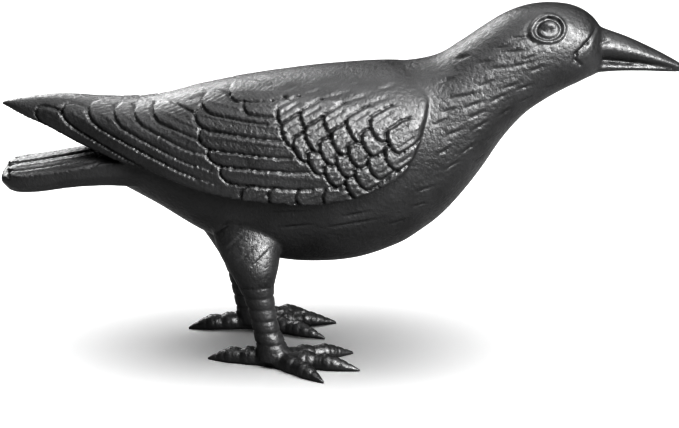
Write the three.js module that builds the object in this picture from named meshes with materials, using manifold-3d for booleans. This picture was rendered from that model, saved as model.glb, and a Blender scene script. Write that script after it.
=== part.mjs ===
// A perched raven in cast iron, one solid casting standing on its own two feet.
// Millimetres. +X runs from tail to beak, +Y is the bird's left, +Z is up, and z = 0 is the ground.

import * as THREE from 'three';
import { mergeVertices } from 'three/addons/utils/BufferGeometryUtils.js';
import Module from 'manifold-3d';

const wasm = await Module();
wasm.setup();

// The tables below are measured from this point, which is moved to the middle of the bounding box
const MIDDLE = { x: 2, y: -1.48 };

// Trunk, neck and head: place along X, top, bottom, half width
const TRUNK = [
  [-118, 119, 92, 12],
  [-110, 122, 87.5, 19],
  [-90, 126, 76.7, 27],
  [-70, 131, 64.2, 32],
  [-50, 136, 54.4, 35],
  [-30, 139.5, 48.4, 36.5],
  [-10, 142, 47, 37],
  [10, 144.5, 49.2, 36.8],
  [30, 147.2, 56.4, 35.6],
  [40, 148.4, 62.8, 34.5],
  [50, 151.3, 70.6, 32.3],
  [60, 157.6, 81.5, 29.9],
  [70, 164.5, 94.8, 27.4],
  [80, 170.8, 110, 25.2],
  [90, 174.8, 121.5, 23.8],
  [100, 176.4, 128.9, 22.4],
  [110, 175.9, 134.6, 20.5],
  [116, 174.3, 137.4, 18.8],
  [121, 171.6, 139.9, 17],
  [125, 168, 141.6, 13.5],
  [127, 165, 143, 10.5],
];
const TRUNK_STEP = 10;
const TRUNK_SIDES = 16;
const TRUNK_FULLNESS = 2.15;

// Folded wings, which close over the back like a roof and end in one wedge:
// place along X, ridge, lower edge, half width at the lower edge
const WINGS = [
  [-166, 127.6, 126.2, 1.5],
  [-155, 129.8, 121.5, 6.5],
  [-142, 131.2, 116.5, 10.5],
  [-129, 131, 110.5, 15],
  [-119, 130, 107, 20],
  [-108, 129.5, 103.5, 25.5],
  [-96, 129.6, 101, 30],
  [-84, 131.6, 97, 34],
  [-70, 135.2, 92.5, 38],
  [-52, 139, 88.8, 41.5],
  [-34, 142, 86.9, 43.5],
  [-14, 144.8, 86.2, 44],
  [3, 146.4, 87.9, 43.5],
  [19, 147.4, 93.6, 42],
  [31, 147.2, 101, 39.8],
  [37, 145.6, 112, 36.8],
  [40.5, 143.2, 124, 33],
  [43, 141, 132, 27],
  [45, 139.5, 137.5, 16],
];
const WING_STEP = 9;
const WING_FULLNESS = 2.2;
const WING_THICKNESS = 7;

// Tail: place along X, ridge, side edge, underside, half width
const TAIL = [
  [-166, 95, 93, 88.5, 15],
  [-161, 96.5, 93.4, 85, 19],
  [-150, 98.6, 94.2, 84.6, 20.5],
  [-132, 102, 97.4, 87, 21],
  [-115, 105.4, 100.8, 88.2, 22],
  [-95, 108, 103, 88, 25],
];

// Bill, both halves: place along X, top, bottom, half width
const UPPER_BILL = [
  [106, 162, 151, 9],
  [115, 166.2, 149.8, 13],
  [123, 166, 149, 12],
  [131, 163.2, 148.4, 10.2],
  [140, 160, 147.6, 8.8],
  [150, 155.6, 146.4, 7.2],
  [160, 150.6, 144.8, 5],
  [167, 146.6, 143.4, 2.8],
  [170, 144.4, 143, 1],
];
const LOWER_BILL = [
  [106, 152, 140, 10],
  [116, 150.5, 141.2, 11],
  [124, 149.8, 142.4, 9.6],
  [136, 148.4, 143.3, 7.8],
  [150, 147, 143.2, 5.8],
  [162, 145.2, 142.6, 3.4],
  [167.5, 143.8, 142.4, 1.4],
];

// Eyes
const EYE = { x: 100.5, y: 16.4, z: 167, length: 5.2, height: 4.2, depth: 3.2 };
const LID = { length: 7.4, height: 6, rim: 1.3 };

// Legs, from inside the belly down to the foot: forward of the foot, outward of the foot,
// height, half length, half width
const LEG = [
  [-13, -11, 80, 18, 10],
  [-12.5, -9, 70, 18, 11.5],
  [-12, -5.5, 60, 16, 12],
  [-10, -2, 50, 12.5, 11],
  [-8.5, -0.5, 41, 9, 8.5],
  [-6.5, 0, 32, 7.2, 6.8],
  [-4, 0, 20, 6.8, 6.4],
  [-1.5, 0, 11, 7.6, 7.2],
  [0, 0, 3, 8.4, 8],
];
// Feet, the right one a little ahead of the left
const FEET = [
  { side: -1, x: -32.5, y: 28.5, splay: 13 },
  { side: 1, x: -45, y: 28.5, splay: 6.5 },
];
// Toes: turned towards the midline from the middle toe, length, half thickness
const TOES = [
  { turn: 0, reach: 44, thick: 5 },
  { turn: 34.5, reach: 43, thick: 4.8 },
  { turn: -34, reach: 36.6, thick: 4.8 },
  { turn: 180, reach: 34.5, thick: 5 },
];
const KNUCKLES = [1.15, 1.08, 0.92, 1.02, 0.84, 0.9, 0.7, 0.42, 0.12];

// Long feathers on each wing: root and tip as seen from the side, width
const PRIMARIES = [
  { root: [-57, 118], tip: [-88, 128], wide: 9 },
  { root: [-62, 112], tip: [-97, 127.5], wide: 9 },
  { root: [-60, 105], tip: [-107, 126.5], wide: 10 },
  { root: [-55, 98], tip: [-120, 127], wide: 11 },
  { root: [-62, 92.5], tip: [-133, 126], wide: 10 },
  { root: [-92, 99], tip: [-146, 124.5], wide: 9 },
];
const SECONDARIES = [
  { root: [-28, 137], tip: [-53, 136], wide: 7 },
  { root: [-22, 130.5], tip: [-46, 131.5], wide: 8 },
  { root: [-28, 127], tip: [-66, 131], wide: 9 },
  { root: [-20, 121], tip: [-69, 125.5], wide: 11 },
  { root: [-14, 113], tip: [-67, 118], wide: 11 },
  { root: [-4, 106.5], tip: [-62.5, 110.5], wide: 10 },
  { root: [-4, 98.5], tip: [-56.5, 102.5], wide: 10 },
];
// The row of short feathers along the lower edge
const SHORT_ROW = { first: -46, last: 6, count: 5, tipZ: 88.6, rise: 5.5, reach: 16, wide: 8.5 };
// Scalloped coverts on the shoulder, row by row from the rear, by their middles
const COVERT_ROWS = [
  [[-21, 128], [-19, 121.5], [-13.5, 115.5], [-6.5, 109.5], [1.5, 103.5], [11.5, 97.5]],
  [[-10, 127], [-8, 120], [-1, 114], [7, 108], [16, 102]],
  [[1, 125.5], [4.5, 118.5], [12.5, 112.5], [22, 107]],
  [[12, 124.5], [19, 118], [30, 111]],
  [[23, 124.5], [31, 119]],
];
const COVERT = { reach: 14, drop: 8, wide: 11.5 };
const FEATHER_LIFT = 1.7;
const FEATHER_DEPTH = 3;
const FEATHER_PLAN = [[0, 0.7], [0.72, 1], [1, 0.4]];

// Long feathers of the tail's top face, each side: distance from the midline, and width
const TAIL_FEATHERS = [
  { y: 3.5, wide: 8, end: -165 },
  { y: 10, wide: 8, end: -164 },
  { y: 16, wide: 8, end: -161 },
];

// Read a table at a place between its rows, on a smooth curve
function readTable(table, x) {
  const last = table.length - 1;
  let i = 0;
  while (i < last - 1 && x > table[i + 1][0]) {
    i += 1;
  }
  const slope = (k, c) => {
    const a = table[Math.max(k - 1, 0)];
    const b = table[Math.min(k + 1, last)];
    return (b[c] - a[c]) / (b[0] - a[0]);
  };
  const span = table[i + 1][0] - table[i][0];
  const t = Math.min(Math.max((x - table[i][0]) / span, 0), 1);
  const value = (c) => {
    const p = table[i][c];
    const q = table[i + 1][c];
    const m = slope(i, c) * span;
    const n = slope(i + 1, c) * span;
    const t2 = t * t;
    const t3 = t2 * t;
    return (2 * t3 - 3 * t2 + 1) * p + (t3 - 2 * t2 + t) * m + (3 * t2 - 2 * t3) * q + (t3 - t2) * n;
  };
  return table[i].map((_, c) => (c === 0 ? x : value(c)));
}

// Places along a table, about one step apart, that keep the two ends
function places(table, step) {
  const from = table[0][0];
  const to = table[table.length - 1][0];
  const count = Math.ceil((to - from) / step);
  return Array.from({ length: count + 1 }, (_, i) => from + ((to - from) * i) / count);
}

// A closed skin through rings of points, each with the same number of points
function loft(rings) {
  const around = rings[0].length;
  const points = rings.flat();
  const middle = (ring) => ring.reduce((sum, p) => sum.add(p), new THREE.Vector3()).divideScalar(around);
  points.push(middle(rings[0]), middle(rings[rings.length - 1]));
  const index = [];
  for (let r = 0; r + 1 < rings.length; r += 1) {
    for (let k = 0; k < around; k += 1) {
      const a = r * around + k;
      const b = r * around + ((k + 1) % around);
      index.push(a, b, b + around, a, b + around, a + around);
    }
  }
  const end = (rings.length - 1) * around;
  for (let k = 0; k < around; k += 1) {
    const next = (k + 1) % around;
    index.push(points.length - 2, next, k);
    index.push(points.length - 1, end + k, end + next);
  }
  const geometry = new THREE.BufferGeometry();
  geometry.setAttribute('position', new THREE.Float32BufferAttribute(points.flatMap((p) => p.toArray()), 3));
  geometry.setIndex(index);
  return geometry;
}

// A closed geometry as a solid with its faces pointing out
function solid(geometry) {
  const bare = geometry.clone();
  bare.deleteAttribute('normal');
  bare.deleteAttribute('uv');
  const merged = mergeVertices(bare, 1e-4);
  const position = merged.getAttribute('position').array;
  const kept = [];
  const index = merged.index.array;
  for (let i = 0; i < index.length; i += 3) {
    const [a, b, c] = [index[i], index[i + 1], index[i + 2]];
    if (a !== b && b !== c && c !== a) {
      kept.push(a, b, c);
    }
  }
  const corner = (i) => new THREE.Vector3().fromArray(position, 3 * i);
  let volume = 0;
  for (let i = 0; i < kept.length; i += 3) {
    volume += corner(kept[i]).dot(corner(kept[i + 1]).cross(corner(kept[i + 2])));
  }
  if (volume < 0) {
    for (let i = 0; i < kept.length; i += 3) {
      [kept[i + 1], kept[i + 2]] = [kept[i + 2], kept[i + 1]];
    }
  }
  return new wasm.Manifold(new wasm.Mesh({
    numProp: 3,
    vertProperties: new Float32Array(position),
    triVerts: new Uint32Array(kept),
  }));
}

// An upright oval ring, fuller than an ellipse when power is over 2
function oval(x, top, bottom, half, sides, power) {
  const middle = (top + bottom) / 2;
  const tall = (top - bottom) / 2;
  const bend = (value) => Math.sign(value) * Math.abs(value) ** (2 / power);
  return Array.from({ length: sides }, (_, k) => {
    const turn = (2 * Math.PI * (k + 0.5)) / sides;
    return new THREE.Vector3(x, half * bend(Math.cos(turn)), middle + tall * bend(Math.sin(turn)));
  });
}

function ovalLoft(table, step, sides, power) {
  return loft(places(table, step).map((x) => {
    const [, top, bottom, half] = readTable(table, x);
    return oval(x, top, bottom, half, sides, power);
  }));
}

// How far the wing's face stands from the midline
function wingFace(x, z) {
  const [, ridge, low, half] = readTable(WINGS, Math.min(Math.max(x, -165), 41));
  const up = Math.min(Math.max((z - low) / (ridge - low), 0), 0.985);
  return half * (1 - up ** WING_FULLNESS) ** (1 / WING_FULLNESS);
}

function wingRing(x) {
  const [, ridge, low, half] = readTable(WINGS, x);
  const quarter = 6;
  const outer = Array.from({ length: quarter + 1 }, (_, k) => {
    const turn = (Math.PI / 2) * (k / quarter);
    const y = half * Math.cos(turn) ** (2 / WING_FULLNESS);
    return [y, low + (ridge - low) * Math.sin(turn) ** (2 / WING_FULLNESS)];
  });
  const under = Math.min(WING_THICKNESS, half * 0.6);
  const lift = Math.min(3, (ridge - low) * 0.2);
  const rightSide = outer.slice(0, quarter).map(([y, z]) => new THREE.Vector3(x, -y, z));
  const leftSide = outer.slice(0, quarter).reverse().map(([y, z]) => new THREE.Vector3(x, y, z));
  return [
    new THREE.Vector3(x, 0, low + lift),
    new THREE.Vector3(x, -(half - under), low + lift * 0.3),
    ...rightSide,
    new THREE.Vector3(x, 0, ridge),
    ...leftSide,
    new THREE.Vector3(x, half - under, low + lift * 0.3),
  ];
}

function tailRing(x) {
  const [, ridge, edge, under, half] = readTable(TAIL, x);
  const shape = [
    [0, ridge], [half * 0.6, (ridge + edge) / 2 + 0.6], [half, edge],
    [half * 0.98, (edge + under) / 2], [half * 0.8, under + 0.8], [0, under],
  ];
  const left = shape.map(([y, z]) => new THREE.Vector3(x, y, z));
  const right = shape.slice(1, -1).reverse().map(([y, z]) => new THREE.Vector3(x, -y, z));
  return [...left, ...right];
}

// One overlapping feather on a face, root buried and tip proud of what lies under it
function feather(root, tip, wide, face) {
  const along = new THREE.Vector3(tip[0] - root[0], 0, tip[1] - root[1]);
  const across = new THREE.Vector3(-along.z, 0, along.x).normalize();
  const rings = FEATHER_PLAN.map(([t, fill]) => {
    const lift = FEATHER_LIFT * (0.15 + 0.85 * t);
    const point = (side, out) => {
      const x = root[0] + along.x * t + across.x * side * wide * 0.5 * fill;
      const z = root[1] + along.z * t + across.z * side * wide * 0.5 * fill;
      return face(x, z, out);
    };
    return [
      point(-1, lift * 0.4), point(0, lift), point(1, lift * 0.4),
      point(1, -FEATHER_DEPTH), point(-1, -FEATHER_DEPTH),
    ];
  });
  return loft(rings);
}

// A point on a wing's face, moved outwards square to the face
function onWing(side) {
  return (x, z, out) => {
    const d = 0.5;
    const y = wingFace(x, z);
    const slopeX = (wingFace(x + d, z) - wingFace(x - d, z)) / (2 * d);
    const slopeZ = (wingFace(x, z + d) - wingFace(x, z - d)) / (2 * d);
    const rise = Math.min(-slopeZ, 2);
    const share = out / Math.hypot(slopeX, 1, rise);
    return new THREE.Vector3(x - slopeX * share, side * (y + share), z + rise * share);
  };
}

function wingFeathers(side) {
  const face = onWing(side);
  const shapes = [...PRIMARIES, ...SECONDARIES].map((f) => feather(f.root, f.tip, f.wide, face));
  for (let i = 0; i < SHORT_ROW.count; i += 1) {
    const x = SHORT_ROW.first + ((SHORT_ROW.last - SHORT_ROW.first) * i) / (SHORT_ROW.count - 1);
    const root = [x + SHORT_ROW.reach, SHORT_ROW.tipZ + SHORT_ROW.rise];
    shapes.push(feather(root, [x, SHORT_ROW.tipZ], SHORT_ROW.wide, face));
  }
  COVERT_ROWS.flat().forEach(([x, z]) => {
    const half = [COVERT.reach / 2, COVERT.drop / 2];
    shapes.push(feather([x + half[0], z + half[1]], [x - half[0], z - half[1]], COVERT.wide, face));
  });
  return shapes;
}

function tailFeathers(side) {
  return TAIL_FEATHERS.map(({ y, wide, end }) => {
    const top = (x, across) => {
      const [, ridge, edge, , half] = readTable(TAIL, x);
      return ridge + (edge - ridge) * Math.min(Math.abs(across) / half, 1);
    };
    const face = (x, across, out) => new THREE.Vector3(x, side * across, top(x, across) + out * 0.8);
    return feather([-112, y], [end, y], wide, face);
  });
}

function legLoft(foot) {
  const rings = LEG.map(([ahead, outward, z, length, width]) => {
    const sides = 12;
    return Array.from({ length: sides }, (_, k) => {
      const turn = (2 * Math.PI * k) / sides;
      const y = foot.y + outward + width * Math.sin(turn);
      return new THREE.Vector3(foot.x + ahead + length * Math.cos(turn), foot.side * y, z);
    });
  });
  return loft(rings);
}

function toeLoft(foot, toe) {
  const turn = THREE.MathUtils.degToRad(toe.turn - foot.splay);
  const way = new THREE.Vector3(Math.cos(turn), -foot.side * Math.sin(turn), 0);
  const across = new THREE.Vector3(-way.y, way.x, 0);
  const last = KNUCKLES.length - 1;
  const rings = KNUCKLES.map((fill, i) => {
    const out = (toe.reach * i) / last;
    const half = toe.thick * fill;
    const sides = 7;
    return Array.from({ length: sides }, (_, k) => {
      const angle = (2 * Math.PI * (k + 0.5)) / sides;
      return new THREE.Vector3(foot.x, foot.side * foot.y, half * 0.72)
        .addScaledVector(way, out)
        .addScaledVector(across, half * Math.cos(angle))
        .add(new THREE.Vector3(0, 0, half * Math.sin(angle)));
    });
  });
  return loft(rings);
}

function eyeParts(side) {
  const ball = new THREE.SphereGeometry(1, 12, 7);
  ball.scale(EYE.length, EYE.depth, EYE.height);
  ball.translate(EYE.x, side * EYE.y, EYE.z);
  const rim = new THREE.TorusGeometry(1, LID.rim / LID.length, 5, 14);
  rim.scale(LID.length, LID.height, LID.length);
  rim.rotateX((side * -66 * Math.PI) / 180);
  rim.translate(EYE.x, side * EYE.y, EYE.z);
  return [ball, rim];
}

function casting() {
  const shapes = [
    ovalLoft(TRUNK, TRUNK_STEP, TRUNK_SIDES, TRUNK_FULLNESS),
    loft(places(WINGS, WING_STEP).map(wingRing)),
    loft(places(TAIL, 12).map(tailRing)),
    ovalLoft(UPPER_BILL, 8, 12, 1.9),
    ovalLoft(LOWER_BILL, 10, 10, 2.2),
  ];
  [-1, 1].forEach((side) => {
    shapes.push(...eyeParts(side), ...wingFeathers(side), ...tailFeathers(side));
  });
  FEET.forEach((foot) => {
    shapes.push(legLoft(foot), ...TOES.map((toe) => toeLoft(foot, toe)));
  });
  const joined = shapes.map(solid).reduce((all, next) => all.add(next));
  const ground = new THREE.BoxGeometry(400, 400, 40);
  ground.translate(0, 0, -20);
  return joined.subtract(solid(ground));
}

function toGeometry(shape) {
  const mesh = shape.getMesh();
  const geometry = new THREE.BufferGeometry();
  geometry.setAttribute('position', new THREE.BufferAttribute(new Float32Array(mesh.vertProperties), 3));
  geometry.setIndex(Array.from(mesh.triVerts));
  geometry.translate(-MIDDLE.x, -MIDDLE.y, 0);
  return geometry;
}

const castIron = new THREE.MeshStandardMaterial({ color: 0x1d1d1e, roughness: 0.55, metalness: 0.35 });

const statue = new THREE.Group();
const raven = new THREE.Mesh(toGeometry(casting()), castIron);
raven.name = 'raven';
statue.add(raven);

export default statue;
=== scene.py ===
import math

import bmesh
import bpy
import numpy as np
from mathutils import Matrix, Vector


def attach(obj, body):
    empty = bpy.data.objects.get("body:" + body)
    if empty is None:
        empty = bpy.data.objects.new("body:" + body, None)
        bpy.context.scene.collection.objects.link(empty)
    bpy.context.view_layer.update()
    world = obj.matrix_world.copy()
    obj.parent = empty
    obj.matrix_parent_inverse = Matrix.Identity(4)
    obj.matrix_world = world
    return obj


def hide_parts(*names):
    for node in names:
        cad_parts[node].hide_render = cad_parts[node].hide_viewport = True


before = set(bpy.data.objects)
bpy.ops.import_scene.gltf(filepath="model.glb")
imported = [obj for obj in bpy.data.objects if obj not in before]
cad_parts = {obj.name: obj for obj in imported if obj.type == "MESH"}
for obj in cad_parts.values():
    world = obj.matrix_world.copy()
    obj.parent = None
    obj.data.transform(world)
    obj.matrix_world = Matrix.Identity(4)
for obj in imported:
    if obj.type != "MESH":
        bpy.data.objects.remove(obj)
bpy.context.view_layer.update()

# A raven in cast iron. Sizes are in millimetres from the part's own middle, and MIDDLE takes
# them to the frame's origin. +X runs from tail to bill, +Z is up.
MM = 0.001
MIDDLE = np.array([2.0, -1.48, 0.0])
NODE = "raven"
BODY = "root"

# Trunk, neck and head: place along X, top, bottom, half width
TRUNK = [
    (-118, 119, 92, 12), (-110, 122, 87.5, 19), (-90, 126, 76.7, 27), (-70, 131, 64.2, 32),
    (-50, 136, 54.4, 35), (-30, 139.5, 48.4, 36.5), (-10, 142, 47, 37), (10, 144.5, 49.2, 36.8),
    (30, 147.2, 56.4, 35.6), (40, 148.4, 62.8, 34.5), (50, 151.3, 70.6, 32.3),
    (60, 157.6, 81.5, 29.9), (70, 164.5, 94.8, 27.4), (80, 170.8, 110, 25.2),
    (90, 174.8, 121.5, 23.8), (100, 176.4, 128.9, 22.4), (110, 175.9, 134.6, 20.5),
    (116, 174.3, 137.4, 18.8), (121, 171.6, 139.9, 17), (125, 168, 141.6, 13.5),
    (127, 165, 143, 10.5),
]
# Folded wings: place along X, ridge, lower edge, half width at the lower edge
WINGS = [
    (-166, 127.6, 126.2, 1.5), (-155, 129.8, 121.5, 6.5), (-142, 131.2, 116.5, 10.5),
    (-129, 131, 110.5, 15), (-119, 130, 107, 20), (-108, 129.5, 103.5, 25.5),
    (-96, 129.6, 101, 30), (-84, 131.6, 97, 34), (-70, 135.2, 92.5, 38), (-52, 139, 88.8, 41.5),
    (-34, 142, 86.9, 43.5), (-14, 144.8, 86.2, 44), (3, 146.4, 87.9, 43.5), (19, 147.4, 93.6, 42),
    (31, 147.2, 101, 39.8), (37, 145.6, 112, 36.8), (40.5, 143.2, 124, 33), (43, 141, 132, 27),
    (45, 139.5, 137.5, 16),
]
WING_FULLNESS = 2.2
WING_THICKNESS = 7.0
# Tail: place along X, ridge, side edge, underside, half width
TAIL = [
    (-166, 95, 93, 88.5, 15), (-161, 96.5, 93.4, 85, 19), (-150, 98.6, 94.2, 84.6, 20.5),
    (-132, 102, 97.4, 87, 21), (-115, 105.4, 100.8, 88.2, 22), (-95, 108, 103, 88, 25),
]
UPPER_BILL = [
    (106, 162, 151, 9), (115, 166.2, 149.8, 13), (123, 166, 149, 12), (131, 163.2, 148.4, 10.2),
    (140, 160, 147.6, 8.8), (150, 155.6, 146.4, 7.2), (160, 150.6, 144.8, 5),
    (167, 146.6, 143.4, 2.8), (170, 144.4, 143, 1),
]
LOWER_BILL = [
    (106, 152, 140, 10), (116, 150.5, 141.2, 11), (124, 149.8, 142.4, 9.6),
    (136, 148.4, 143.3, 7.8), (150, 147, 143.2, 5.8), (162, 145.2, 142.6, 3.4),
    (167.5, 143.8, 142.4, 1.4),
]
EYE = {"x": 100.5, "y": 16.4, "z": 167.0, "length": 5.2, "height": 4.2, "depth": 3.2}
LID = {"length": 7.4, "height": 6.0, "rim": 1.3, "lean": 66.0}
# Legs from the ground up: height, forward of the foot, outward of the foot, half length, half width
LEG = [
    (3, 0, 0, 8.4, 8), (11, -1.5, 0, 7.6, 7.2), (20, -4, 0, 6.8, 6.4), (32, -6.5, 0, 7.2, 6.8),
    (41, -8.5, -0.5, 9, 8.5), (50, -10, -2, 12.5, 11), (60, -12, -5.5, 16, 12),
    (70, -12.5, -9, 18, 11.5), (80, -13, -11, 18, 10),
]
FEET = [{"side": -1, "x": -32.5, "y": 28.5, "splay": 13}, {"side": 1, "x": -45, "y": 28.5, "splay": 6.5}]
TOES = [
    {"turn": 0, "reach": 44, "thick": 5.0}, {"turn": 34.5, "reach": 43, "thick": 4.8},
    {"turn": -34, "reach": 36.6, "thick": 4.8}, {"turn": 180, "reach": 34.5, "thick": 5.0},
]
KNUCKLES = [1.15, 1.08, 0.92, 1.02, 0.84, 0.9, 0.7, 0.42, 0.12]
TOE_SINK = 0.72

# Feathers as seen from the side, from the lowest layer to the highest: root, tip, width
PRIMARIES = [
    ((-92, 99), (-148, 124.5), 9), ((-62, 92.5), (-135, 126), 10.5), ((-55, 98), (-122, 127), 11),
    ((-60, 105), (-109, 126.5), 10), ((-62, 112), (-99, 127.5), 9.5), ((-57, 118), (-90, 128), 9),
]
SECONDARIES = [
    ((-4, 98.5), (-56.5, 102.5), 11), ((-4, 106.5), (-62.5, 110.5), 10.5),
    ((-14, 113), (-67, 118), 10.5), ((-20, 121), (-69, 126.5), 10.5),
    ((-28, 127), (-66, 132), 8.5), ((-22, 130.5), (-46, 132), 8), ((-28, 137), (-53, 136), 7),
]
SHORT_ROW = {"first": -46, "last": 6, "count": 5, "tip_z": 88.6, "rise": 5.5, "reach": 16, "wide": 9.5}
COVERT_ROWS = [
    [(-21, 128), (-19, 121.5), (-13.5, 115.5), (-6.5, 109.5), (1.5, 103.5), (11.5, 97.5)],
    [(-10, 127), (-8, 120), (-1, 114), (7, 108), (16, 102)],
    [(1, 125.5), (4.5, 118.5), (12.5, 112.5), (22, 107)],
    [(12, 124.5), (19, 118), (30, 111)],
    [(23, 124.5), (31, 119)],
]
COVERT = {"reach": 14, "drop": 8, "wide": 12}
# Short tooled strokes on neck, breast and flank: from, to
STROKES = [
    ((82, 162), (92, 164)), ((74, 157), (84, 160)), ((66, 150), (74, 153)), ((86, 152), (95, 155.5)),
    ((78, 139), (87, 142)), ((72, 133), (81, 137)), ((76, 125), (84, 130)), ((66, 140), (75, 144)),
    ((52, 134), (60, 137)), ((44, 122), (52, 126)), ((46, 108), (55, 113)), ((58, 108), (66, 113)),
    ((64, 101), (71, 106)), ((98, 137), (104, 140)), ((86, 131), (94, 135)), ((92, 158), (98, 161)),
    ((77.5, 156), (89.7, 157.5)), ((79.4, 149), (94.9, 152.5)), ((90.7, 147), (98.4, 150)),
    ((71, 148), (80, 150)), ((84, 138), (94, 141)), ((56.3, 135), (66.5, 138)),
    ((58.4, 130), (70, 134)), ((60.9, 125), (71.1, 129.5)), ((63, 119), (72, 124)),
    ((55.4, 151), (62.8, 154)), ((47, 141), (56, 144)), ((48, 128), (56, 131)),
    ((50, 117), (60, 121)), ((70, 112), (77, 117)), ((35.8, 90), (47, 93)),
    ((34.7, 82), (42.6, 84)), ((0.2, 78), (15.6, 81)), ((-7.9, 72), (21.8, 77)),
    ((22, 72), (34, 76)), ((50, 100), (58, 105)), ((-30, 72), (-12, 74)), ((-34, 80), (-14, 81)),
    ((-62, 66), (-52, 75)), ((-56, 60), (-46, 69)), ((-50, 55), (-40, 64)), ((-44, 52), (-34, 61)),
]
BACK_STROKES = [
    ((-18, 136), (-6, 139)), ((-8, 135), (6, 138)), ((3, 134), (15, 137)), ((13, 133), (24, 136)),
    ((-12, 140), (0, 142)), ((4, 140), (16, 142)), ((18, 138.5), (28, 141)), ((-40, 138), (-28, 140)),
    ((-30, 137), (-20, 139.5)), ((-76, 131), (-64, 134)), ((-92, 129), (-80, 131)),
]
STROKE_DEPTH = 0.65
STROKE_WIDTH = 0.65
BILL_BASE = [(124, 166), (119, 160), (113.5, 155), (113, 152), (116, 149.5)]
NOSTRIL = [(126, 158.5), (130, 159.6)]

# How finely each loft is drawn: step along its length, points around, fullness of its oval
TRUNK_LOFT = {"step": 1.5, "sides": 96, "power": 2.15}
UPPER_BILL_LOFT = {"step": 1, "sides": 48, "power": 1.9}
LOWER_BILL_LOFT = {"step": 1, "sides": 48, "power": 2.2}
WING_LOFT = {"step": 1.5, "quarter": 28}
TAIL_STEP = 2
LEG_LOFT = {"step": 1.5, "sides": 40}
TOE_LOFT = {"rings": 40, "sides": 24}
EYE_LOFT = {"rings": 24, "sides": 32, "steepest": 88}
LID_LOFT = {"rings": 48, "sides": 12}

# The one skin over the lofts: size of its cells, its smoothing, and the most triangles it keeps
VOXEL = 0.8
SMOOTH_FACTOR = 0.5
SMOOTH_ROUNDS = 5
MOST_TRIANGLES = 190000

# Feather relief: rise from root to tip, lean of the face, and the groove round the rim
LIFT = 1.25
TILT = 0.8
GROOVE = 0.95
RIM = 0.9
EDGE_DROP = 0.35
EDGE_WIDTH = 0.9
# Barbs, and the shaft, which ends at a share of the feather's length
BARB_STEP = 2.3
BARB_DEPTH = 0.13
BARB_LEAN = 1.4
SHAFT_HEIGHT = 0.3
SHAFT_WIDTH = 0.55
SHAFT_END = 0.93
# Cuts along a covert, between two shares of its length
CUTS = 3
CUT_DEPTH = 0.5
CUT_WIDTH = 0.5
CUT_FROM = 0.3
CUT_TO = 0.86
# Tail feathers: distances from the midline, and what they share
TAIL_FEATHER_PLACES = (17, 10.5, 1)
TAIL_FEATHER = {"root": -110, "tip": -165, "shorter": 0.2, "wide": 8}

# Creases of the head
CREASE_WIDTH = 0.8
BILL_BASE_DEPTH = 1.0
NOSTRIL_DEPTH = 0.9
# Rings round the eye: place and width as shares of its radius, height
EYE_RINGS = [(0, 0.3, -0.5), (1.08, 0.13, -1.1), (1.38, 0.15, 0.8), (1.7, 0.14, -0.3)]
EYE_REAR_DRAW = 0.12
# Scales of the toes and cross grooves of the shanks
TOE_SCALES = {"step": 4.2, "depth": 0.35, "first": 7, "before_tip": 4, "aside": 7, "low": 2}
SCUTES = {"step": 6, "depth": 0.55, "start": 12, "low": 9, "high": 42}

# Where each relief lies: places along X, distance from the midline, heights, and how far up it faces
WING_ZONE = {"rear": -164, "front": 40, "midline": 1.5, "faces": -0.35, "under": 0.2, "fade": 7}
TAIL_ZONE = {"front": -108, "low": 92, "faces": 0.4, "under_wing": 1}
BREAST_REAR = 42
SHANK_TOP = 46
TOE_TOP = 12
EYE_ZONE = {"rear": 84, "front": 114, "midline": 6}
GROUND_FADE = 2


def read_table(table, x):
    """Every column of a table at the places x, on a smooth curve."""
    rows = np.array(table, float)
    place = rows[:, 0]
    slopes = np.zeros_like(rows)
    slopes[1:-1] = (rows[2:] - rows[:-2]) / (place[2:] - place[:-2])[:, None]
    slopes[0] = (rows[1] - rows[0]) / (place[1] - place[0])
    slopes[-1] = (rows[-1] - rows[-2]) / (place[-1] - place[-2])
    x = np.clip(np.asarray(x, float), place[0], place[-1])
    i = np.clip(np.searchsorted(place, x, side="right") - 1, 0, len(place) - 2)
    span = place[i + 1] - place[i]
    t = ((x - place[i]) / span)[..., None]
    span = span[..., None]
    a = (2 * t**3 - 3 * t**2 + 1) * rows[i] + (t**3 - 2 * t**2 + t) * slopes[i] * span
    return a + (3 * t**2 - 2 * t**3) * rows[i + 1] + (t**3 - t**2) * slopes[i + 1] * span


def places(table, step):
    count = int(math.ceil((table[-1][0] - table[0][0]) / step))
    return np.linspace(table[0][0], table[-1][0], count + 1)


def add_loft(bm, rings):
    """A closed skin through rings of points, in millimetres."""
    rows = [[bm.verts.new(point) for point in ring] for ring in rings]
    around = len(rows[0])
    for low, high in zip(rows, rows[1:]):
        for k in range(around):
            n = (k + 1) % around
            bm.faces.new((low[k], low[n], high[n], high[k]))
    bm.faces.new(list(reversed(rows[0])))
    bm.faces.new(rows[-1])


def bend(value, power):
    return np.sign(value) * np.abs(value) ** (2 / power)


def oval_rings(table, step, sides, power):
    turn = 2 * np.pi * (np.arange(sides) + 0.5) / sides
    rings = []
    for x, top, bottom, half in read_table(table, places(table, step)):
        y = half * bend(np.cos(turn), power)
        z = (top + bottom) / 2 + (top - bottom) / 2 * bend(np.sin(turn), power)
        rings.append(np.stack([np.full(sides, x), y, z], axis=1))
    return rings


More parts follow.
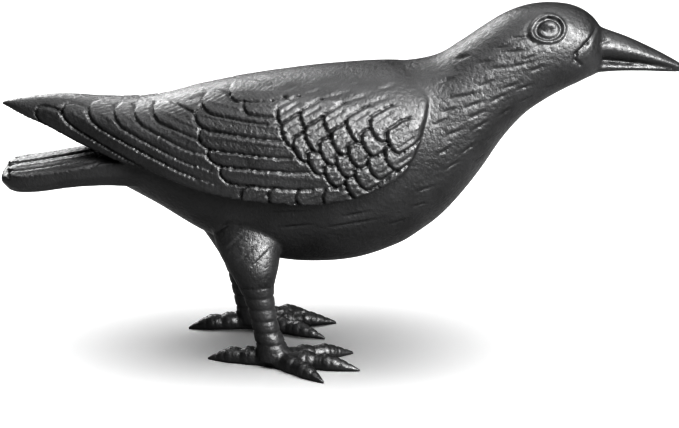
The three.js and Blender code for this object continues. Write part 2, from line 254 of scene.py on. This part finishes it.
def wing_rings(step, quarter):
    rings = []
    turn = np.pi / 2 * np.arange(quarter + 1) / quarter
    for x, ridge, low, half in read_table(WINGS, places(WINGS, step)):
        y = half * bend(np.cos(turn), WING_FULLNESS)
        z = low + (ridge - low) * bend(np.sin(turn), WING_FULLNESS)
        y[-1] = 0
        under = half - min(WING_THICKNESS, half * 0.6)
        lift = min(3, (ridge - low) * 0.2)
        right = [(x, -b, c) for b, c in zip(y[:-1], z[:-1])]
        left = [(x, b, c) for b, c in zip(y[:-1][::-1], z[:-1][::-1])]
        rings.append([(x, 0, low + lift), (x, -under, low + lift * 0.3), *right, (x, 0, ridge),
                      *left, (x, under, low + lift * 0.3)])
    return rings


def tail_rings(step):
    rings = []
    for x, ridge, edge, under, half in read_table(TAIL, places(TAIL, step)):
        shape = [(0, ridge), (half * 0.6, (ridge + edge) / 2 + 0.6), (half, edge),
                 (half * 0.98, (edge + under) / 2), (half * 0.8, under + 0.8), (0, under)]
        left = [(x, y, z) for y, z in shape]
        right = [(x, -y, z) for y, z in reversed(shape[1:-1])]
        rings.append(left + right)
    return rings


def leg_rings(foot):
    sides = LEG_LOFT["sides"]
    turn = 2 * np.pi * np.arange(sides) / sides
    rings = []
    for z, ahead, outward, length, width in read_table(LEG, places(LEG, LEG_LOFT["step"])):
        y = foot["side"] * (foot["y"] + outward + width * np.sin(turn))
        x = foot["x"] + ahead + length * np.cos(turn)
        rings.append(np.stack([x, y, np.full(sides, z)], axis=1))
    return rings


def toe_way(foot, toe):
    turn = math.radians(toe["turn"] - foot["splay"])
    way = np.array([math.cos(turn), -foot["side"] * math.sin(turn), 0])
    return way, np.array([-way[1], way[0], 0])


def toe_rings(foot, toe):
    way, across = toe_way(foot, toe)
    table = [(i, fill) for i, fill in enumerate(KNUCKLES)]
    turn = 2 * np.pi * np.arange(TOE_LOFT["sides"]) / TOE_LOFT["sides"]
    rings = []
    for i, fill in read_table(table, np.linspace(0, len(KNUCKLES) - 1, TOE_LOFT["rings"])):
        half = toe["thick"] * fill
        middle = np.array([foot["x"], foot["side"] * foot["y"], half * TOE_SINK])
        middle = middle + way * toe["reach"] * i / (len(KNUCKLES) - 1)
        ring = middle + np.outer(half * np.cos(turn), across) + np.outer(half * np.sin(turn), (0, 0, 1))
        rings.append(ring)
    return rings


def eye_rings(side):
    sides = EYE_LOFT["sides"]
    turn = 2 * np.pi * np.arange(sides) / sides
    rings = []
    for tilt in np.linspace(-EYE_LOFT["steepest"], EYE_LOFT["steepest"], EYE_LOFT["rings"]):
        flat = math.cos(math.radians(tilt))
        rings.append(np.stack([
            EYE["x"] + EYE["length"] * flat * np.cos(turn),
            side * EYE["y"] + EYE["depth"] * flat * np.sin(turn),
            np.full(sides, EYE["z"] + EYE["height"] * math.sin(math.radians(tilt))),
        ], axis=1))
    return rings


def add_lid(bm, side):
    """The ring round the eye, leaning with the side of the head."""
    around, sides = LID_LOFT["rings"], LID_LOFT["sides"]
    lean = math.radians(side * -LID["lean"])
    grid = []
    for i in range(around):
        a = 2 * math.pi * i / around
        row = []
        for k in range(sides):
            b = 2 * math.pi * k / sides
            flat = 1 + LID["rim"] / LID["length"] * math.cos(b)
            x = LID["length"] * flat * math.cos(a)
            y = LID["height"] * flat * math.sin(a)
            z = LID["rim"] * math.sin(b)
            y, z = y * math.cos(lean) - z * math.sin(lean), y * math.sin(lean) + z * math.cos(lean)
            row.append(bm.verts.new((EYE["x"] + x, side * EYE["y"] + y, EYE["z"] + z)))
        grid.append(row)
    for i in range(around):
        for k in range(sides):
            low, high = grid[i], grid[(i + 1) % around]
            n = (k + 1) % sides
            bm.faces.new((low[k], low[n], high[n], high[k]))


def rough_form():
    """All the lofts of the bird in one mesh, still overlapping each other, in metres."""
    bm = bmesh.new()
    add_loft(bm, oval_rings(TRUNK, **TRUNK_LOFT))
    add_loft(bm, wing_rings(**WING_LOFT))
    add_loft(bm, tail_rings(TAIL_STEP))
    add_loft(bm, oval_rings(UPPER_BILL, **UPPER_BILL_LOFT))
    add_loft(bm, oval_rings(LOWER_BILL, **LOWER_BILL_LOFT))
    for side in (-1, 1):
        add_loft(bm, eye_rings(side))
        add_lid(bm, side)
    for foot in FEET:
        add_loft(bm, leg_rings(foot))
        for toe in TOES:
            add_loft(bm, toe_rings(foot, toe))
    bmesh.ops.recalc_face_normals(bm, faces=bm.faces)
    for vert in bm.verts:
        vert.co = Vector((np.array(vert.co) - MIDDLE) * MM)
    mesh = bpy.data.meshes.new(NODE + "_form")
    bm.to_mesh(mesh)
    bm.free()
    return mesh


def apply_modifiers(obj):
    graph = bpy.context.evaluated_depsgraph_get()
    mesh = bpy.data.meshes.new_from_object(obj.evaluated_get(graph))
    obj.modifiers.clear()
    old = obj.data
    obj.data = mesh
    bpy.data.meshes.remove(old)


def coordinates(mesh):
    co = np.empty(len(mesh.vertices) * 3)
    mesh.vertices.foreach_get("co", co)
    return co.reshape(-1, 3)


def normals(mesh):
    out = np.empty(len(mesh.vertices) * 3)
    mesh.vertex_normals.foreach_get("vector", out)
    return out.reshape(-1, 3)


def line_distance(x, z, a, b):
    ax, az = a
    bx, bz = b
    span = (bx - ax) ** 2 + (bz - az) ** 2
    t = np.clip(((x - ax) * (bx - ax) + (z - az) * (bz - az)) / span, 0, 1)
    return np.hypot(x - ax - t * (bx - ax), z - az - t * (bz - az)), t


def plan_width(u):
    """How wide a feather is along its length, as a share of its width."""
    tip = np.clip((u - 0.82) / 0.18, 0, 1)
    return (0.75 + 0.25 * np.clip(u / 0.3, 0, 1)) * np.sqrt(np.clip(1 - tip**2.2, 0, 1))


def paint_feather(height, x, z, root, tip, wide, barbs=True, cuts=0):
    """Lay one feather over those before it, with a groove round its rim."""
    length = math.hypot(tip[0] - root[0], tip[1] - root[1])
    dx, dz = (tip[0] - root[0]) / length, (tip[1] - root[1]) / length
    near = (np.abs(x - (root[0] + tip[0]) / 2) < length) & (np.abs(z - (root[1] + tip[1]) / 2) < length)
    px, pz = x[near] - root[0], z[near] - root[1]
    u = (px * dx + pz * dz) / length
    across = px * dz - pz * dx
    half = wide / 2 * plan_width(u)
    inside = (u > 0) & (u < 1) & (np.abs(across) < half)
    grown = wide / 2 * plan_width(u * length / (length + RIM)) + RIM
    rim = (u > 0.15) & (u < 1 + RIM / length) & (np.abs(across) < grown) & ~inside
    s = across / (wide / 2)
    value = LIFT * (0.15 + 0.85 * np.clip(u, 0, 1)) + TILT * 0.5 * np.sign(dx) * -s
    value += SHAFT_HEIGHT * np.exp(-((across / SHAFT_WIDTH) ** 2)) * (u < SHAFT_END)
    edge = np.clip((half - np.abs(across)) / EDGE_WIDTH, 0, 1)
    value -= EDGE_DROP * (1 - edge)
    if barbs:
        value += BARB_DEPTH * np.sin(2 * np.pi * (u * length + np.abs(across) * BARB_LEAN) / BARB_STEP)
    for cut in range(cuts):
        at = (cut - (cuts - 1) / 2) * wide / (cuts + 0.6)
        value -= CUT_DEPTH * np.exp(-(((across - at) / CUT_WIDTH) ** 2)) * ((u > CUT_FROM) & (u < CUT_TO))
    part = height[near]
    part[rim] = np.minimum(part[rim], 0.2) - GROOVE
    part[inside] = value[inside]
    height[near] = part


def wing_relief(x, z):
    height = np.zeros_like(x)
    for root, tip, wide in PRIMARIES:
        paint_feather(height, x, z, root, tip, wide)
    for i in range(SHORT_ROW["count"]):
        at = SHORT_ROW["first"] + (SHORT_ROW["last"] - SHORT_ROW["first"]) * i / (SHORT_ROW["count"] - 1)
        root = (at + SHORT_ROW["reach"], SHORT_ROW["tip_z"] + SHORT_ROW["rise"])
        paint_feather(height, x, z, root, (at, SHORT_ROW["tip_z"]), SHORT_ROW["wide"])
    for root, tip, wide in SECONDARIES:
        paint_feather(height, x, z, root, tip, wide)
    for row in COVERT_ROWS:
        for cx, cz in row:
            dx, dz = COVERT["reach"] / 2, COVERT["drop"] / 2
            paint_feather(height, x, z, (cx + dx, cz + dz), (cx - dx, cz - dz), COVERT["wide"],
                          barbs=False, cuts=CUTS)
    return height


def tail_relief(x, y):
    height = np.zeros_like(x)
    for side in (-1, 1):
        for at in TAIL_FEATHER_PLACES:
            root = (TAIL_FEATHER["root"], side * at)
            tip = (TAIL_FEATHER["tip"] + at * TAIL_FEATHER["shorter"], side * at)
            paint_feather(height, x, y, root, tip, TAIL_FEATHER["wide"])
    return height


def strokes_relief(x, z, strokes, depth):
    """Tooled strokes that start and end shallow, each with a low lip above it."""
    height = np.zeros_like(x)
    for a, b in strokes:
        away, t = line_distance(x, z, a, b)
        height -= depth * np.exp(-((away / STROKE_WIDTH) ** 2)) * np.sin(np.pi * np.clip(t, 0.05, 0.95))
        lifted, t = line_distance(x, z - 1.8, a, b)
        height += 0.4 * depth * np.exp(-((lifted / 1.3) ** 2)) * np.sin(np.pi * np.clip(t, 0.05, 0.95))
    return height


def body_relief(x, z):
    height = strokes_relief(x, z, STROKES, STROKE_DEPTH)
    for a, b in zip(BILL_BASE, BILL_BASE[1:]):
        height -= BILL_BASE_DEPTH * np.exp(-((line_distance(x, z, a, b)[0] / CREASE_WIDTH) ** 2))
    height -= NOSTRIL_DEPTH * np.exp(-((line_distance(x, z, *NOSTRIL)[0] / CREASE_WIDTH) ** 2))
    return height


def eye_relief(x, z):
    """A dimple in the eyeball, a groove round it and the raised lid, drawn to a point at the rear."""
    rear = np.clip((EYE["x"] - x) / EYE["length"], 0, 2)
    low = (z - EYE["z"]) / EYE["height"] + EYE_REAR_DRAW * rear**2
    ring = np.hypot((x - EYE["x"]) / EYE["length"] / (1 + EYE_REAR_DRAW * rear), low)
    return sum(height * np.exp(-(((ring - at) / width) ** 2)) for at, width, height in EYE_RINGS)


def toe_relief(points):
    height = np.zeros(len(points))
    for foot in FEET:
        origin = np.array([foot["x"], foot["side"] * foot["y"], 0])
        for toe in TOES:
            way, across = toe_way(foot, toe)
            along = (points - origin) @ way
            aside = np.abs((points - origin) @ across)
            on = (along > TOE_SCALES["first"]) & (along < toe["reach"] - TOE_SCALES["before_tip"])
            on &= (aside < TOE_SCALES["aside"]) & (points[:, 2] > TOE_SCALES["low"])
            scale = np.abs(np.cos(np.pi * along / TOE_SCALES["step"])) ** 10
            height -= TOE_SCALES["depth"] * scale * on * (points[:, 2] < TOE_TOP)
    return height


def scute_relief(points):
    """Cross grooves on the front of each shank."""
    z = points[:, 2]
    on = (z > SCUTES["low"]) & (z < SCUTES["high"])
    return -SCUTES["depth"] * on * np.abs(np.cos(np.pi * (z - SCUTES["start"]) / SCUTES["step"])) ** 12


def add_relief(mesh):
    points = coordinates(mesh) / MM + MIDDLE
    out = normals(mesh)
    x, y, z = points.T
    low = read_table(WINGS, x)[:, 2]
    on_wing = (x > WING_ZONE["rear"]) & (x < WING_ZONE["front"]) & (z > low - WING_ZONE["under"])
    on_wing &= (np.abs(y) > WING_ZONE["midline"]) & (out[:, 2] > WING_ZONE["faces"])
    fade = np.clip((read_table(WINGS, x)[:, 1] - z) / WING_ZONE["fade"], 0, 1)
    on_back = strokes_relief(x, z, BACK_STROKES, 0.6 * STROKE_DEPTH)
    height = np.where(on_wing, wing_relief(x, z) * fade + on_back, 0)
    on_tail = (x < TAIL_ZONE["front"]) & (z < low - TAIL_ZONE["under_wing"])
    on_tail &= (out[:, 2] > TAIL_ZONE["faces"]) & (z > TAIL_ZONE["low"])
    height += np.where(on_tail, tail_relief(x, y), 0)
    off_wing = ~on_wing & ~on_tail & (z > SHANK_TOP)
    height += np.where(off_wing | (x > BREAST_REAR), body_relief(x, z), 0)
    by_eye = (x > EYE_ZONE["rear"]) & (x < EYE_ZONE["front"]) & (np.abs(y) > EYE_ZONE["midline"])
    height += np.where(by_eye, eye_relief(x, z), 0)
    height += np.where(z < TOE_TOP, toe_relief(points), 0)
    height += np.where(z < SHANK_TOP, scute_relief(points), 0)
    ground = np.clip(z / GROUND_FADE, 0, 1)
    points += out * (height * ground)[:, None]
    points[:, 2] = np.maximum(points[:, 2], 0)
    mesh.vertices.foreach_set("co", ((points - MIDDLE) * MM).ravel())
    mesh.update()


def make_raven():
    obj = bpy.data.objects.new(NODE + "_casting", rough_form())
    bpy.context.scene.collection.objects.link(obj)
    remesh = obj.modifiers.new("remesh", "REMESH")
    remesh.mode = "VOXEL"
    remesh.voxel_size = VOXEL * MM
    remesh.adaptivity = 0
    smooth = obj.modifiers.new("smooth", "SMOOTH")
    smooth.factor = SMOOTH_FACTOR
    smooth.iterations = SMOOTH_ROUNDS
    apply_modifiers(obj)
    add_relief(obj.data)
    triangles = 2 * len(obj.data.polygons)
    if triangles > MOST_TRIANGLES:
        decimate = obj.modifiers.new("decimate", "DECIMATE")
        decimate.ratio = MOST_TRIANGLES / triangles
        apply_modifiers(obj)
    obj.data.polygons.foreach_set("use_smooth", [True] * len(obj.data.polygons))
    obj.data.materials.clear()
    obj.data.materials.append(iron_material())
    return obj


# Black paint over sand-cast iron: noise scale and detail, colour ramps, bump strength and depth in metres
SPECULAR_LEVEL = 0.6
PATCH_NOISE = (55, 4)
GRAIN_NOISE = (1400, 3)
SAND_NOISE = (520, 5)
PAINT_TONES = [(0.3, 0.012), (0.7, 0.026)]
PAINT_ROUGHNESS = [(0.3, 0.38), (0.7, 0.54)]
SAND_BUMP = (0.7, 0.0006)
GRAIN_BUMP = (0.45, 0.0002)
BLUE_SHARE = 1.02


def iron_material():
    """Satin black paint over fine sand-cast iron, its tone varying at random in patches."""
    material = bpy.data.materials.new("satin_black_iron")
    material.use_nodes = True
    nodes, links = material.node_tree.nodes, material.node_tree.links
    shader = nodes["Principled BSDF"]
    shader.inputs["Metallic"].default_value = 0.0
    shader.inputs["Specular IOR Level"].default_value = SPECULAR_LEVEL
    place = nodes.new("ShaderNodeTexCoord")

    def noise(scale, detail):
        node = nodes.new("ShaderNodeTexNoise")
        node.inputs["Scale"].default_value = scale
        node.inputs["Detail"].default_value = detail
        links.new(place.outputs["Object"], node.inputs["Vector"])
        return node

    def ramp(source, stops):
        node = nodes.new("ShaderNodeValToRGB")
        for element, (at, value) in zip(node.color_ramp.elements, stops):
            element.position = at
            element.color = (value, value, value * BLUE_SHARE, 1)
        links.new(source, node.inputs["Fac"])
        return node

    def bump(source, strength, depth):
        node = nodes.new("ShaderNodeBump")
        node.inputs["Strength"].default_value = strength
        node.inputs["Distance"].default_value = depth
        links.new(source, node.inputs["Height"])
        return node

    patches = noise(*PATCH_NOISE)
    grain = noise(*GRAIN_NOISE)
    sand = noise(*SAND_NOISE)
    colour = ramp(patches.outputs["Fac"], PAINT_TONES)
    links.new(colour.outputs["Color"], shader.inputs["Base Color"])
    rough = ramp(sand.outputs["Fac"], PAINT_ROUGHNESS)
    links.new(rough.outputs["Color"], shader.inputs["Roughness"])
    coarse = bump(sand.outputs["Fac"], *SAND_BUMP)
    fine = bump(grain.outputs["Fac"], *GRAIN_BUMP)
    links.new(coarse.outputs["Normal"], fine.inputs["Normal"])
    links.new(fine.outputs["Normal"], shader.inputs["Normal"])
    return material


# Floor: half its side in metres, tone and roughness
FLOOR_HALF = 1.5
FLOOR_TONE = 0.92
FLOOR_ROUGHNESS = 0.9


def floor_material():
    material = bpy.data.materials.new("pale_floor")
    material.use_nodes = True
    shader = material.node_tree.nodes["Principled BSDF"]
    shader.inputs["Base Color"].default_value = (FLOOR_TONE, FLOOR_TONE, FLOOR_TONE, 1)
    shader.inputs["Roughness"].default_value = FLOOR_ROUGHNESS
    return material


def make_floor():
    mesh = bpy.data.meshes.new("floor")
    corners = [(-1, -1), (1, -1), (1, 1), (-1, 1)]
    mesh.from_pydata([(FLOOR_HALF * x, FLOOR_HALF * y, 0) for x, y in corners], [], [(0, 1, 2, 3)])
    mesh.materials.append(floor_material())
    floor = bpy.data.objects.new("floor", mesh)
    bpy.context.scene.collection.objects.link(floor)
    return floor


# Camera: height of its view above the ground, distance and focal length of the photograph's view
VIEW_POINT = Vector((-2.0, 1.48, 69.6)) * MM
VIEW_HEIGHT = math.radians(16)
VIEW_DISTANCE = 975 * MM
SENSOR = 36.0
FOCAL = 103.1


def make_camera():
    camera = bpy.data.cameras.new("camera")
    camera.sensor_width = SENSOR
    camera.lens = FOCAL
    obj = bpy.data.objects.new("camera", camera)
    away = Vector((0, -math.cos(VIEW_HEIGHT), math.sin(VIEW_HEIGHT)))
    obj.location = VIEW_POINT + away * VIEW_DISTANCE
    obj.rotation_euler = (-away).to_track_quat("-Z", "Y").to_euler()
    bpy.context.scene.collection.objects.link(obj)
    bpy.context.scene.camera = obj


def add_light(name, place, target, size, power):
    light = bpy.data.lights.new(name, "AREA")
    light.shape = "DISK"
    light.size = size
    light.energy = power
    obj = bpy.data.objects.new(name, light)
    obj.location = place
    aim = target - obj.location
    obj.rotation_euler = aim.to_track_quat("-Z", "Y").to_euler()
    bpy.context.scene.collection.objects.link(obj)
    return obj


# Spots that light the bird alone, and the ceiling over bird and floor: place in metres, diameter, power
SPOTS = {
    "key": ((0.85, -0.95, 0.6), 0.7, 66),
    "high": ((0.35, -0.75, 1.05), 0.5, 34),
    "behind": ((-0.6, 1.0, 0.75), 0.9, 22),
}
CEILING = ((0, 0, 2.5), 5.0, 190)
LIGHT_TARGET = Vector((0, 0, 0.09))
WORLD_STRENGTH = 0.04
GAMMA = 0.54


def make_light(lit):
    """Spots that model the bird alone, and a wide ceiling over bird and floor."""
    only_bird = bpy.data.collections.new("lit_by_key")
    only_bird.objects.link(lit)
    for name, (place, size, power) in SPOTS.items():
        spot = add_light(name, Vector(place), LIGHT_TARGET, size, power)
        spot.light_linking.receiver_collection = only_bird
    place, size, power = CEILING
    add_light("ceiling", Vector(place), LIGHT_TARGET, size, power)
    world = bpy.data.worlds.new("world")
    world.use_nodes = True
    nodes, links = world.node_tree.nodes, world.node_tree.links
    soft = nodes["Background"]
    soft.inputs["Color"].default_value = (1, 1, 1, 1)
    soft.inputs["Strength"].default_value = WORLD_STRENGTH
    seen = nodes.new("ShaderNodeBackground")
    seen.inputs["Color"].default_value = (1, 1, 1, 1)
    rays = nodes.new("ShaderNodeLightPath")
    mix = nodes.new("ShaderNodeMixShader")
    links.new(rays.outputs["Is Camera Ray"], mix.inputs["Fac"])
    links.new(soft.outputs["Background"], mix.inputs[1])
    links.new(seen.outputs["Background"], mix.inputs[2])
    links.new(mix.outputs["Shader"], nodes["World Output"].inputs["Surface"])
    bpy.context.scene.world = world


make_camera()
make_floor()
raven = make_raven()
make_light(raven)
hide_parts(NODE)
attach(raven, BODY)

scene = bpy.context.scene
scene.view_settings.view_transform = "Standard"
scene.view_settings.look = "None"
scene.view_settings.gamma = GAMMA
